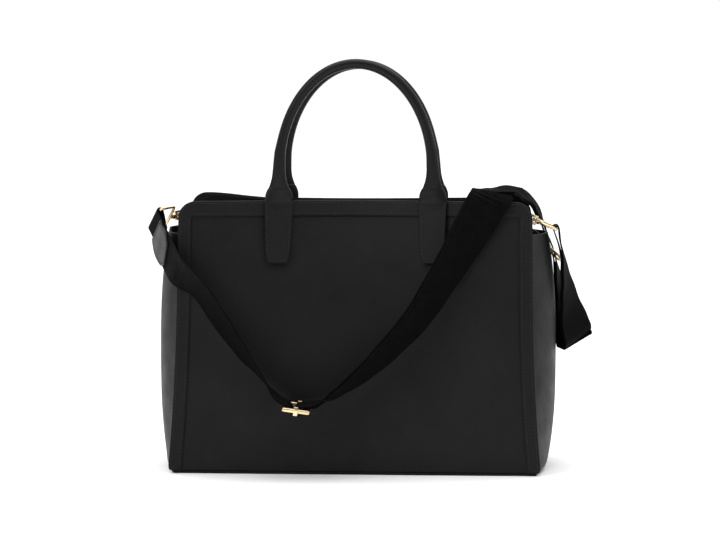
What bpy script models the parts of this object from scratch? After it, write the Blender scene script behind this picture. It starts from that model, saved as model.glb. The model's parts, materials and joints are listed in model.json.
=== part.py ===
"""Diaper bag: an open-topped leather tote with two rolled handles and a webbing shoulder strap.

Frame: +Z up, +X to the wearer's right along the wide side, +Y from the front panel to the rear
panel, origin at the centre of the base, on the surface that the bag stands on.
Every dimension below is in millimetres; mesh_object turns them into metres.
"""
import math

import bmesh
import bpy
from mathutils import Vector

MM = 0.001
GAP = 0.4                      # running gap between neighbouring pieces

# ---- bag body ------------------------------------------------------------------------------
RIM_Z = 279.5                  # top edge of the front and rear panels
BASE_HALF_WIDTH = 192.0        # panel half width at the base
TOP_HALF_WIDTH = 182.0         # panel half width near the rim
BASE_HALF_DEPTH = 75.5         # outer face of a panel at the base
RIM_CORNER_HALF_DEPTH = 54.0   # outer face of a panel at the ends of the rim
RIM_MIDDLE_HALF_DEPTH = 22.0   # outer face of a panel at the pinched middle of the rim
PANEL_LEAN = 1.7               # exponent of the lean from base to rim
PANEL_BELLY = 4.0              # soft outward belly of a panel at half height
SHOULDER_RADIUS = 17.0         # rounded upper corners of the panels
PANEL_THICKNESS = 3.0
PANEL_COLUMNS = 20
PANEL_LEVELS = (20.0, 45.0, 80.0, 120.0, 160.0, 200.0, 235.0)
SHOULDER_STEPS = 6

GUSSET_TOP_Z = 246.0
GUSSET_THICKNESS = 2.6
GUSSET_WIDEST = 208.0          # half width over the bulging gussets
GUSSET_TOP_PULL = 9.0          # how far the gusset draws in towards its top edge
GUSSET_BASE_PULL = 10.0        # how far it draws in towards the base
GUSSET_COLUMNS = 10
GUSSET_LEVELS = (25.0, 55.0, 90.0, 130.0, 165.0, 200.0, 225.0, GUSSET_TOP_Z)

BASE_THICKNESS = 3.0
BOARD_THICKNESS = 2.0
LINING_THICKNESS = 1.0
LINING_TOP_Z = 236.0
LINING_AWAY = 2.0              # between the gusset and the lining
LINING_LEVELS = (40.0, 90.0, 140.0, 190.0, LINING_TOP_Z)

TRIM_THICKNESS = 1.2
TRIM_TOP_WIDTH = 15.5
TRIM_SIDE_WIDTH = 13.5
FACING_HEIGHT = 38.0
FACING_THICKNESS = 1.5

# ---- handles -------------------------------------------------------------------------------
HANDLE_X = 79.5                # half the distance between a handle's feet
HANDLE_TOP_Z = 421.0           # centreline of the roll at the top of the arch
HANDLE_SPRING_Z = 310.0        # where the straight legs become the arch
HANDLE_FOOT_Z = 282.2          # lower end of the flat root
HANDLE_PIVOT_Z = 283.2
HANDLE_ROLL_RADIUS = 5.5
HANDLE_WALL = 1.7
ROOT_SHAPE = ((282.2, 14.2, 3.2), (287.0, 13.6, 3.6), (292.0, 11.4, 4.1), (297.0, 9.3, 4.6),
              (303.0, 7.6, 5.1), (310.0, 6.8, 5.5))
TAB_TOP_Z = 279.0
TAB_BOTTOM_Z = 216.0
TAB_TOP_HALF_WIDTH = 14.6
TAB_BOTTOM_HALF_WIDTH = 12.4
TAB_THICKNESS = 3.0

# ---- strap ---------------------------------------------------------------------------------
STRAP_WIDTH = 42.0
STRAP_THICKNESS = 1.6
LAYER_OFFSET = 1.15            # each of two layers lies this far from the strap's middle
PATCH_THICKNESS = 1.8
PATCH_LENGTH = 54.0

# ---- strap hardware ------------------------------------------------------------------------
WIRE = 1.7                     # wire radius of the rectangular strap loops
LOOP_HALF_WIDTH = 23.7         # wire centreline
LOOP_DEPTH = 15.6              # distance between the loop's two long bars
LOOP_CORNER = 3.2
RING_WIRE = 1.5                # wire radius of the D-rings
RING_HALF_WIDTH = 12.5         # wire centreline
RING_FOOT = Vector((177.5, 0.0, 246.2))
RING_APEX_RIGHT = Vector((170.5, 0.0, 263.6))
RING_APEX_LEFT = Vector((-176.2, 0.0, 264.7))
HOOK_REACH = 23.5              # from the loop's inner bar to the D-ring's wire
EYE_CENTRE = 20.5              # from the loop's inner bar to the middle of the hook's eye
EYE_RADIUS = 7.9
HOOK_WIRE = 1.9
HOOK_BLOCK = (5.6, 14.6)
HOOK_BLOCK_HALF = 4.9
HOOK_BLOCK_HALF_THICK = 3.5
GATE_PIN = (13.1, 3.4)
GATE_PIN_RADIUS = 0.7
GATE_END = (21.5, 7.12)
TAB_STRIP_WIDTH = 21.0
TAB_STRIP_THICKNESS = 1.8
CROSS = Vector((0.0, 1.0, 0.0))

RIGHT_OUT = Vector((0.936, 0.0, -0.353)).normalized()
LEFT_BAR_DIR = Vector((-0.33, 0.80, -0.49)).normalized()
LEFT_OUT_ROUGH = Vector((-0.903, -0.378, -0.195))
LEFT_OUT = (LEFT_OUT_ROUGH - LEFT_BAR_DIR * LEFT_OUT_ROUGH.dot(LEFT_BAR_DIR)).normalized()
LEFT_LEAVING_ROUGH = Vector((0.45, -0.60, -0.65))
LEFT_LEAVING = (LEFT_LEAVING_ROUGH - LEFT_BAR_DIR * LEFT_LEAVING_ROUGH.dot(LEFT_BAR_DIR)).normalized()
RIGHT_BAR = RING_APEX_RIGHT + RIGHT_OUT * (HOOK_REACH + LOOP_DEPTH)
LEFT_BAR = RING_APEX_LEFT + LEFT_OUT * (HOOK_REACH + LOOP_DEPTH)

SLIDER_CENTRE = Vector((-55.1, -104.0, 72.4))
SLIDER_ALONG = Vector((0.991, 0.0, -0.134)).normalized()
SLIDER_UP = Vector((0.134, 0.0, 0.991)).normalized()
SLIDER_LENGTH = 28.4
SLIDER_HALF_WIDTH = 26.6
SLIDER_RAIL = 3.2
SLIDER_HALF_THICKNESS = 1.9
SLIDER_BAR_RADIUS = 1.6
KEEPER_WIRE = 1.5
KEEPER_HALF_LENGTH = 9.5
KEEPER_HALF_WIDTH = 23.4
KEEPER_TILT = 32.0

MATERIALS = {}


def material(name, colour, roughness, metallic=0.0):
    """One Principled material for each finish."""
    if name not in MATERIALS:
        made = bpy.data.materials.new(name)
        made.use_nodes = True
        shader = made.node_tree.nodes["Principled BSDF"]
        shader.inputs["Base Color"].default_value = (*colour, 1.0)
        shader.inputs["Roughness"].default_value = roughness
        shader.inputs["Metallic"].default_value = metallic
        MATERIALS[name] = made
    return MATERIALS[name]


def leather():
    return material("leather", (0.012, 0.013, 0.013), 0.5)


def webbing():
    return material("webbing", (0.008, 0.008, 0.009), 0.85)


def gold():
    return material("gold", (0.83, 0.66, 0.42), 0.25, 1.0)


def lining_cloth():
    return material("lining_cloth", (0.05, 0.05, 0.055), 0.9)


def board():
    return material("board", (0.22, 0.18, 0.13), 0.9)


def core_rope():
    return material("core_rope", (0.5, 0.47, 0.4), 0.9)


def zip_metal():
    return material("zip_metal", (0.83, 0.66, 0.42), 0.3, 1.0)


# ---- mesh helpers --------------------------------------------------------------------------
def mesh_object(name, points, faces, finish, origin=Vector((0.0, 0.0, 0.0)), smooth=True):
    """Make an object from millimetre points, with its own origin at the given point."""
    mesh = bpy.data.meshes.new(name)
    mesh.from_pydata([(Vector(p) - origin) * MM for p in points], [], faces)
    edit = bmesh.new()
    edit.from_mesh(mesh)
    bmesh.ops.recalc_face_normals(edit, faces=edit.faces)
    edit.to_mesh(mesh)
    edit.free()
    mesh.materials.append(finish)
    made = bpy.data.objects.new(name, mesh)
    made.location = origin * MM
    bpy.context.scene.collection.objects.link(made)
    if smooth:
        mesh.shade_smooth()
        mesh.set_sharp_from_angle(angle=math.radians(40.0))
    return made


def sheet_solid(name, outer, inner, finish, origin=Vector((0.0, 0.0, 0.0))):
    """Close two matching grids of points, an outer and an inner face, into one thick sheet."""
    rows = len(outer)
    columns = len(outer[0])
    points = [p for row in outer for p in row] + [p for row in inner for p in row]
    back = rows * columns
    faces = []
    for r in range(rows - 1):
        for c in range(columns - 1):
            a = r * columns + c
            faces.append((a, a + 1, a + columns + 1, a + columns))
            faces.append((back + a, back + a + columns, back + a + columns + 1, back + a + 1))
    for r in range(rows - 1):
        for c in (0, columns - 1):
            a = r * columns + c
            faces.append((a, a + columns, back + a + columns, back + a))
    for c in range(columns - 1):
        for r in (0, rows - 1):
            a = r * columns + c
            faces.append((a, a + 1, back + a + 1, back + a))
    return mesh_object(name, points, faces, finish, origin)


def ring_solid(name, rings, finish, closed=False, origin=Vector((0.0, 0.0, 0.0)), hollow=None):
    """Join matching rings of points: capped at the ends, or closed on itself, or a hollow sleeve."""
    sides = len(rings[0])
    points = [p for ring in rings for p in ring]
    faces = []
    spans = len(rings) if closed else len(rings) - 1
    for r in range(spans):
        following = (r + 1) % len(rings)
        for s in range(sides):
            t = (s + 1) % sides
            faces.append((r * sides + s, r * sides + t, following * sides + t, following * sides + s))
    last = (len(rings) - 1) * sides
    if hollow:
        shift = len(points)
        points += [p for ring in hollow for p in ring]
        for r in range(spans):
            for s in range(sides):
                t = (s + 1) % sides
                a = shift + r * sides
                faces.append((a + s, a + sides + s, a + sides + t, a + t))
        for start in (0, last):
            for s in range(sides):
                t = (s + 1) % sides
                faces.append((start + s, start + t, shift + start + t, shift + start + s))
    elif not closed:
        faces.append(tuple(range(sides)))
        faces.append(tuple(last + s for s in range(sides)))
    return mesh_object(name, points, faces, finish, origin)


def circle_ring(centre, across, up, radius_across, radius_up, sides):
    """A ring of points round a centre, on two perpendicular unit directions."""
    turn = 2.0 * math.pi / sides
    return [centre + across * (radius_across * math.cos(turn * (k + 0.5)))
            + up * (radius_up * math.sin(turn * (k + 0.5))) for k in range(sides)]


def wire_along(name, path, plane_normal, radius, sides, finish, closed, origin):
    """A round wire along a path that lies in one plane."""
    rings = []
    count = len(path)
    for k, point in enumerate(path):
        before = path[(k - 1) % count] if closed or k > 0 else point
        after = path[(k + 1) % count] if closed or k < count - 1 else point
        along = (after - before).normalized()
        side = along.cross(plane_normal).normalized()
        rings.append(circle_ring(point, side, plane_normal, radius, radius, sides))
    return ring_solid(name, rings, finish, closed, origin)


def cylinder(name, start, end, radius, sides, finish, origin=Vector((0.0, 0.0, 0.0))):
    along = (end - start).normalized()
    helper = Vector((0.0, 0.0, 1.0)) if abs(along.z) < 0.9 else Vector((1.0, 0.0, 0.0))
    across = along.cross(helper).normalized()
    up = along.cross(across)
    rings = [circle_ring(p, across, up, radius, radius, sides) for p in (start, end)]
    return ring_solid(name, rings, finish, origin=origin)


def turned(name, start, along, profile, sides, finish, origin):
    """A turned piece: profile lists (distance along the axis, radius)."""
    helper = Vector((0.0, 0.0, 1.0)) if abs(along.z) < 0.9 else Vector((1.0, 0.0, 0.0))
    across = along.cross(helper).normalized()
    up = along.cross(across)
    rings = [circle_ring(start + along * d, across, up, r, r, sides) for d, r in profile]
    return ring_solid(name, rings, finish, origin=origin)


def block(name, centre, axes, halves, finish, origin=Vector((0.0, 0.0, 0.0))):
    """A box on three perpendicular unit axes."""
    points = []
    for i in (-1, 1):
        for j in (-1, 1):
            for k in (-1, 1):
                points.append(centre + axes[0] * (i * halves[0]) + axes[1] * (j * halves[1])
                              + axes[2] * (k * halves[2]))
    faces = [(0, 1, 3, 2), (4, 6, 7, 5), (0, 4, 5, 1), (2, 3, 7, 6), (0, 2, 6, 4), (1, 5, 7, 3)]
    return mesh_object(name, points, faces, finish, origin, smooth=False)


def extruded(name, outline, centre, axes, half_thickness, finish, origin):
    """A flat outline on axes 0 and 1, thickened both ways along axis 2."""
    count = len(outline)
    points = []
    for side in (-1, 1):
        for a, b in outline:
            points.append(centre + axes[0] * a + axes[1] * b + axes[2] * (side * half_thickness))
    faces = [tuple(range(count)), tuple(range(count, 2 * count))]
    for k in range(count):
        following = (k + 1) % count
        faces.append((k, following, count + following, count + k))
    return mesh_object(name, points, faces, finish, origin)


def combine(target, tool, operation):
    """Cut with, or add, another object; the tool itself is left out of the model."""
    change = target.modifiers.new(operation.title(), "BOOLEAN")
    change.operation = operation
    change.object = tool
    tool.hide_render = True
    tool.display_type = "WIRE"


def soften(target, width, segments=2):
    bevel = target.modifiers.new("Bevel", "BEVEL")
    bevel.width = width * MM
    bevel.segments = segments
    bevel.limit_method = "ANGLE"
    bevel.angle_limit = math.radians(40.0)


def arc(centre, radius, start, stop, steps):
    """Outline points on an arc, angles in degrees."""
    points = []
    for k in range(steps + 1):
        angle = math.radians(start + (stop - start) * k / steps)
        points.append((centre[0] + radius * math.cos(angle), centre[1] + radius * math.sin(angle)))
    return points


# ---- the bag's own surfaces ----------------------------------------------------------------
def half_width(z):
    """Half width of a panel at a height, before its shoulders are rounded."""
    rise = 1.0 - z / RIM_Z
    return TOP_HALF_WIDTH + (BASE_HALF_WIDTH - TOP_HALF_WIDTH) * rise ** 3


def shoulder_half_width(z):
    """Half width with the rounded shoulder taken off."""
    above = z - (RIM_Z - SHOULDER_RADIUS)
    if above <= 0.0:
        return half_width(z)
    cut = SHOULDER_RADIUS - math.sqrt(max(SHOULDER_RADIUS ** 2 - above ** 2, 0.0))
    return half_width(z) - cut


def half_depth(x, z):
    """Outer face of a panel, measured from the bag's middle plane."""
    spread = math.sin(0.5 * math.pi * min(abs(x) / TOP_HALF_WIDTH, 1.0)) ** 2
    rim = RIM_MIDDLE_HALF_DEPTH + (RIM_CORNER_HALF_DEPTH - RIM_MIDDLE_HALF_DEPTH) * spread
    lean = (z / RIM_Z) ** PANEL_LEAN
    belly = PANEL_BELLY * math.sin(math.pi * z / RIM_Z)
    belly *= math.cos(0.5 * math.pi * min(abs(x) / BASE_HALF_WIDTH, 1.0))
    return BASE_HALF_DEPTH + (rim - BASE_HALF_DEPTH) * lean + belly


def gusset_widest(z):
    """Half width over the gussets' middle, drawn in towards the top and the base."""
    if z > 150.0:
        return GUSSET_WIDEST - GUSSET_TOP_PULL * ((z - 150.0) / 96.0) ** 2
    if z < 100.0:
        return GUSSET_WIDEST - GUSSET_BASE_PULL * ((100.0 - z) / 100.0) ** 2.5
    return GUSSET_WIDEST


def gusset_reach(z):
    """Half depth that a gusset spans between the inner faces of the panels."""
    return half_depth(half_width(z), z) - PANEL_THICKNESS - GAP


def gusset_x(y, z):
    """Outer face of the gusset."""
    seam = half_width(z) - 1.0
    across = min(abs(y) / gusset_reach(z), 1.0)
    return seam + (gusset_widest(z) - seam) * (1.0 - across ** 2)


def panel_levels():
    """Heights of a panel's rows, closer together where the shoulder rounds over."""
    levels = [BASE_THICKNESS + GAP, *PANEL_LEVELS]
    for k in range(SHOULDER_STEPS + 1):
        angle = 0.5 * math.pi * k / SHOULDER_STEPS
        levels.append(RIM_Z - SHOULDER_RADIUS + SHOULDER_RADIUS * math.sin(angle))
    return levels


def columns_at(z, count, inset=0.0):
    width = shoulder_half_width(z) - inset
    return [width * (2.0 * c / count - 1.0) for c in range(count + 1)]


def make_panel(name, side):
    outer = []
    inner = []
    for z in panel_levels():
        xs = columns_at(z, PANEL_COLUMNS)
        outer.append([Vector((x, side * half_depth(x, z), z)) for x in xs])
        inner.append([Vector((x, side * (half_depth(x, z) - PANEL_THICKNESS), z)) for x in xs])
    return sheet_solid(name, outer, inner, leather())


def make_gusset(name, side):
    outer = []
    inner = []
    for z in (BASE_THICKNESS + GAP, *GUSSET_LEVELS):
        reach = gusset_reach(z)
        ys = [reach * (2.0 * c / GUSSET_COLUMNS - 1.0) for c in range(GUSSET_COLUMNS + 1)]
        outer.append([Vector((side * gusset_x(y, z), y, z)) for y in ys])
        inner.append([Vector((side * (gusset_x(y, z) - GUSSET_THICKNESS), y, z)) for y in ys])
    return sheet_solid(name, outer, inner, leather())


def body_ring(z, from_panel, from_gusset, along=18, across=8):
    """A closed ring round the inside of the bag, set in from the panels and the gussets."""
    reach = gusset_reach(z) + PANEL_THICKNESS + GAP - from_panel
    end = half_width(z) - 1.0 - from_gusset
    ring = []
    for c in range(along):
        x = end * (2.0 * c / along - 1.0)
        ring.append(Vector((x, -(half_depth(x, z) - from_panel), z)))
    for c in range(across):
        y = reach * (2.0 * c / across - 1.0)
        bulge = (gusset_widest(z) - half_width(z) + 1.0) * (1.0 - (y / reach) ** 2)
        ring.append(Vector((end + bulge, y, z)))
    return ring + [Vector((-p.x, -p.y, z)) for p in ring]


def make_base():
    """The base panel, which the bag stands on, and the stiffening board above it."""
    lower = [Vector((p.x, p.y, 0.0)) for p in body_ring(0.0, 0.6, 0.6)]
    upper = [Vector((p.x, p.y, BASE_THICKNESS)) for p in lower]
    ring_solid("base_panel", [lower, upper], leather())
    under = BASE_THICKNESS + GAP
    lower = [Vector((p.x, p.y, under)) for p in body_ring(under, 5.0, 5.5)]
    upper = [Vector((p.x, p.y, under + BOARD_THICKNESS)) for p in lower]
    ring_solid("base_board", [lower, upper], board())


def make_lining():
    """A sewn sock that lines the bag, open at the top."""
    floor = BASE_THICKNESS + BOARD_THICKNESS + 2.0 * GAP
    from_panel = PANEL_THICKNESS + 0.6
    from_gusset = GUSSET_THICKNESS + LINING_AWAY
    outside = [body_ring(z, from_panel, from_gusset) for z in (floor, *LINING_LEVELS)]
    raised = (floor + LINING_THICKNESS, *LINING_LEVELS)
    wall = LINING_THICKNESS
    inside = [body_ring(z, from_panel + wall, from_gusset + wall) for z in raised]
    ring_solid("lining", outside + inside[::-1], lining_cloth())


def make_border_trim(name, side):
    """The stitched strip along the rim and down both sides of a panel."""
    out = GAP + TRIM_THICKNESS + 0.1
    columns = []
    side_levels = [z for z in panel_levels() if z <= RIM_Z - SHOULDER_RADIUS]
    for z in side_levels:
        inner_x = TRIM_SIDE_WIDTH - half_width(z)
        columns.append(((-half_width(z), z), (inner_x, min(z, RIM_Z - TRIM_TOP_WIDTH))))
    centre = (SHOULDER_RADIUS - TOP_HALF_WIDTH, RIM_Z - SHOULDER_RADIUS)
    for k in range(1, SHOULDER_STEPS + 1):
        angle = math.pi - 0.5 * math.pi * k / SHOULDER_STEPS
        edge = (centre[0] + SHOULDER_RADIUS * math.cos(angle),
                centre[1] + SHOULDER_RADIUS * math.sin(angle))
        inner_x = TRIM_SIDE_WIDTH - TOP_HALF_WIDTH + (edge[0] + TOP_HALF_WIDTH) * 0.2
        columns.append((edge, (inner_x, RIM_Z - TRIM_TOP_WIDTH)))
    width = TOP_HALF_WIDTH - SHOULDER_RADIUS
    for c in range(1, PANEL_COLUMNS):
        x = width * (2.0 * c / PANEL_COLUMNS - 1.0)
        columns.append(((x, RIM_Z), (x, RIM_Z - TRIM_TOP_WIDTH)))
    left = columns[:len(side_levels) + SHOULDER_STEPS]
    columns += [((-edge[0], edge[1]), (-inner[0], inner[1])) for edge, inner in reversed(left)]
    outer = []
    inner = []
    for edge, inset in columns:
        middle = (0.5 * (edge[0] + inset[0]), 0.5 * (edge[1] + inset[1]))
        outer.append([Vector((x, side * (half_depth(x, z) + out), z)) for x, z in (edge, middle, inset)])
        inner.append([Vector((x, side * (half_depth(x, z) + out - TRIM_THICKNESS), z))
                      for x, z in (edge, middle, inset)])
    return sheet_solid(name, outer, inner, leather())


def make_facing(name, side):
    """The leather strip inside the rim, above the lining."""
    outer = []
    inner = []
    top = RIM_Z - 1.5
    for k in range(4):
        z = top - FACING_HEIGHT + FACING_HEIGHT * k / 3.0
        xs = columns_at(z, PANEL_COLUMNS, 8.0)
        away = PANEL_THICKNESS + GAP + 0.1
        outer.append([Vector((x, side * (half_depth(x, z) - away), z)) for x in xs])
        inner.append([Vector((x, side * (half_depth(x, z) - away - FACING_THICKNESS), z)) for x in xs])
    return sheet_solid(name, outer, inner, leather())


# ---- handles -------------------------------------------------------------------------------
def handle_y():
    """The plane of a handle: the middle of the tab's thickness at the rim."""
    return half_depth(HANDLE_X, RIM_Z) + GAP + TRIM_THICKNESS + GAP + 0.5 * TAB_THICKNESS + 0.8


def make_handle_tab(name, side, hand):
    """The flat leather patch that carries one foot of a handle."""
    outer = []
    inner = []
    out = TRIM_THICKNESS + 2.0 * GAP + 0.5
    for k in range(7):
        z = TAB_BOTTOM_Z + (TAB_TOP_Z - TAB_BOTTOM_Z) * k / 6.0
        share = k / 6.0
        half = TAB_BOTTOM_HALF_WIDTH + (TAB_TOP_HALF_WIDTH - TAB_BOTTOM_HALF_WIDTH) * share
        if k == 0:
            half -= 2.5
        xs = [hand * HANDLE_X + half * (c / 2.0 - 1.0) for c in range(5)]
        outer.append([Vector((x, side * (half_depth(x, z) + out + TAB_THICKNESS), z)) for x in xs])
        inner.append([Vector((x, side * (half_depth(x, z) + out), z)) for x in xs])
    return sheet_solid(name, outer, inner, leather())


def handle_stations():
    """(x, z, direction x, direction z, half width, half depth) along one handle, foot to foot."""
    leg = [(-HANDLE_X, z, 0.0, 1.0, wide, deep) for z, wide, deep in ROOT_SHAPE]
    arch = []
    steps = 18
    rise = HANDLE_TOP_Z - HANDLE_SPRING_Z
    for k in range(1, steps):
        angle = math.pi - math.pi * k / steps
        x = HANDLE_X * math.cos(angle)
        z = HANDLE_SPRING_Z + rise * math.sin(angle)
        dx = HANDLE_X * math.sin(angle)
        dz = -rise * math.cos(angle)
        length = math.hypot(dx, dz)
        swell = max(0.0, 1.0 - (z - HANDLE_SPRING_Z) / 30.0)
        wide = HANDLE_ROLL_RADIUS + (ROOT_SHAPE[-1][1] - HANDLE_ROLL_RADIUS) * swell
        arch.append((x, z, dx / length, dz / length, wide, HANDLE_ROLL_RADIUS))
    other = [(-x, z, -dx, -dz, wide, deep) for x, z, dx, dz, wide, deep in reversed(leg)]
    return leg + arch + other


def make_handle(word, side):
    """The rolled leather cover of a handle and the rope core inside it."""
    y = side * handle_y()
    origin = Vector((0.0, y, HANDLE_PIVOT_Z))
    outside = []
    inside = []
    core = []
    for x, z, dx, dz, wide, deep in handle_stations():
        centre = Vector((x, y, z))
        across = Vector((dz, 0.0, -dx))
        back = Vector((0.0, 1.0, 0.0))
        outside.append(circle_ring(centre, across, back, wide, deep, 10))
        inside.append(circle_ring(centre, across, back, wide - HANDLE_WALL, deep - HANDLE_WALL, 10))
        core_radius = HANDLE_ROLL_RADIUS - HANDLE_WALL - GAP
        thin = min(core_radius, deep - HANDLE_WALL - GAP)
        core.append(circle_ring(centre, across, back, core_radius, thin, 8))
    ring_solid(word + "_handle_cover", outside, leather(), origin=origin, hollow=inside)
    ring_solid(word + "_handle_core", core, core_rope(), origin=origin)


# ---- closure -------------------------------------------------------------------------------
def wall_axes(x, z, side):
    """Along the wall, inwards from it and up it, at one place on the front or rear wall."""
    slope_x = half_depth(x + 1.0, z) - half_depth(x - 1.0, z)
    slope_z = half_depth(x, z + 1.0) - half_depth(x, z - 1.0)
    up = Vector((0.0, side * 0.5 * slope_z, 1.0)).normalized()
    along = Vector((1.0, side * 0.5 * slope_x, 0.0))
    along = (along - up * along.dot(up)).normalized()
    inwards = along.cross(up).normalized()
    if inwards.y * side > 0.0:
        inwards = -inwards
    return along, inwards, up


def make_snap(name, side, profile):
    """One half of the magnetic snap, on the facing inside the rim."""
    z = 258.0
    away = PANEL_THICKNESS + GAP + 0.1 + FACING_THICKNESS + GAP + 0.3
    seat = Vector((0.0, side * (half_depth(0.0, z) - away), z))
    turned(name, seat, wall_axes(0.0, z, side)[1], profile, 16, gold(), seat)


# ---- ribbons: webbing and leather strips ---------------------------------------------------
def smooth_path(knots, step):
    """A smooth curve through knots of (point, width direction), sampled about every step."""
    samples = []
    count = len(knots)
    for k in range(count - 1):
        p0, w0 = knots[max(k - 1, 0)]
        p1, w1 = knots[k]
        p2, w2 = knots[k + 1]
        p3, w3 = knots[min(k + 2, count - 1)]
        pieces = max(2, math.ceil((p2 - p1).length / step))
        for i in range(pieces):
            t = i / pieces
            m1 = (p2 - p0) * 0.5 if k > 0 else p2 - p1
            m2 = (p3 - p1) * 0.5 if k < count - 2 else p2 - p1
            span = (p2 - p1).length
            if m1.length > 1e-6:
                m1 = m1.normalized() * span
            if m2.length > 1e-6:
                m2 = m2.normalized() * span
            a = 2 * t ** 3 - 3 * t ** 2 + 1
            b = t ** 3 - 2 * t ** 2 + t
            c = -2 * t ** 3 + 3 * t ** 2
            d = t ** 3 - t ** 2
            point = p1 * a + m1 * b + p2 * c + m2 * d
            ease = t * t * (3.0 - 2.0 * t)
            samples.append((point, w1.lerp(w2, ease)))
    samples.append(knots[-1])
    return samples


def frames(samples):
    """(point, along, width, normal, distance) at each sample of a path.

    At its two ends the path keeps the width direction given, so that it lies true on a bar.
    """
    result = []
    distance = 0.0
    count = len(samples)
    for k, (point, width) in enumerate(samples):
        before = samples[max(k - 1, 0)][0]
        after = samples[min(k + 1, count - 1)][0]
        along = (after - before).normalized()
        if k in (0, count - 1):
            width = width.normalized()
            along = (along - width * along.dot(width)).normalized()
        across = (width - along * width.dot(along)).normalized()
        if k > 0:
            distance += (point - samples[k - 1][0]).length
        result.append((point, along, across, along.cross(across).normalized(), distance))
    return result


def ribbon(name, sections, width, thickness, finish, origin=Vector((0.0, 0.0, 0.0)), halves=None):
    """A flat strip: sections are (centre, width direction, normal)."""
    outer = []
    inner = []
    for k, (centre, across, normal) in enumerate(sections):
        half = halves[k] if halves else 0.5 * width
        lift = normal * (0.5 * thickness)
        edges = (centre - across * half, centre + across * half)
        outer.append([p + lift for p in edges])
        inner.append([p - lift for p in edges])
    return sheet_solid(name, outer, inner, finish, origin)


def eye(centre, along, normal, radius, first, last, steps):
    """Section centres and normals round a bar; angle 0 is on the normal's side, 90 ahead of the bar."""
    result = []
    for k in range(steps + 1):
        angle = math.radians(first + (last - first) * k / steps)
        out = normal * math.cos(angle) + along * math.sin(angle)
        result.append((centre + out * radius, out))
    return result


def blend_between(value, start, stop, low, high):
    """Ease from low to high as value goes from start to stop."""
    share = min(max((value - start) / (stop - start), 0.0), 1.0)
    ease = share * share * (3.0 - 2.0 * share)
    return low + (high - low) * ease


def eye_sections(bar, along, across, normal, radius, first, last, steps):
    """Ribbon sections wrapped round a bar, from the first to the last angle in degrees.

    Angle 0 is on the normal's side of the bar and 90 is straight along.
    """
    return [(centre, across, out)
            for centre, out in eye(bar, along, normal, radius, first, last, steps)]


def layer(path, offset_at, facing=1):
    """Ribbon sections that follow a path, shifted along its normal by a varying distance.

    Facing says which way the webbing's own outer face looks, along the normal or against it.
    """
    return [(point + normal * offset_at(distance), across, normal * facing)
            for point, along, across, normal, distance in path]


# ---- the strap's course --------------------------------------------------------------------
def edge_pair(right, left):
    """A knot from the two edges of the webbing."""
    right = Vector(right)
    left = Vector(left)
    return ((right + left) * 0.5, (right - left).normalized())


def slider_point(t, n):
    return SLIDER_CENTRE + SLIDER_ALONG * t + SLIDER_UP * n


def left_course():
    """From the left clasp, round the front corner of the bag and down to the slider."""
    bar = LEFT_BAR_DIR
    turning = Vector((-0.28, 0.64, -0.71))
    flat = Vector((-0.41, 0.854, -0.32))
    knots = [
        (LEFT_BAR, bar),
        (LEFT_BAR + LEFT_LEAVING * 12.0, bar),
        (Vector((-203.5, -30.0, 238.5)), Vector((-0.30, 0.70, -0.62))),
        (Vector((-197.0, -44.5, 231.0)), turning),
        (Vector((-189.5, -61.0, 221.0)), turning),
        (Vector((-181.5, -77.0, 211.5)), Vector((-0.36, 0.76, -0.50))),
        (Vector((-169.5, -88.5, 202.5)), Vector((-0.40, 0.82, -0.40))),
        (Vector((-155.0, -93.0, 189.5)), flat),
        (Vector((-135.2, -96.0, 160.9)), flat),
        (Vector((-112.5, -99.5, 129.2)), Vector((-0.33, 0.90, -0.26))),
        (Vector((-93.0, -102.0, 105.0)), Vector((-0.18, 0.97, -0.14))),
        (slider_point(-22.8, 8.0), CROSS),
    ]
    return knots


def slider_weave():
    """Over the first rail of the slider, under its middle bar and over the second rail."""
    stations = [(-16.5, 4.9), (-12.6, 3.9), (-9.0, 1.6), (-6.4, -2.2), (-3.2, -4.8), (0.0, -5.3),
                (3.2, -4.8), (6.4, -2.2), (9.0, 1.4), (12.6, 3.4)]
    return [(slider_point(t, n), CROSS) for t, n in stations]


def right_width(face_on):
    """Width direction on the right branch: 0 is edge-on to the panel, 1 lies flat on it."""
    edge_on = math.sqrt(1.0 - face_on ** 2)
    return (Vector((0.876, 0.0, -0.48)) * face_on + CROSS * edge_on).normalized()


def right_course():
    """From the slider up the front of the bag to the crest over the rim."""
    return [
        (slider_point(12.6, 4.4), CROSS),
        (slider_point(17.5, 5.6), CROSS),
        (Vector((-15.7, -101.5, 87.6)), right_width(0.25)),
        (Vector((10.4, -98.0, 107.0)), right_width(0.40)),
        (Vector((35.5, -93.0, 130.5)), right_width(0.52)),
        (Vector((64.8, -86.5, 162.7)), right_width(0.62)),
        (Vector((86.9, -80.5, 196.4)), right_width(0.70)),
        (Vector((102.5, -75.0, 221.6)), right_width(0.78)),
        (Vector((120.0, -68.5, 252.0)), right_width(0.92)),
        (Vector((132.5, -63.5, 274.0)), right_width(0.98)),
        (Vector((139.0, -57.5, 284.5)), Vector((0.97, 0.0, -0.22))),
        (CREST, Vector((1.0, 0.0, 0.0))),
    ]


CREST = Vector((143.0, -47.5, 288.6))


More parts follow.
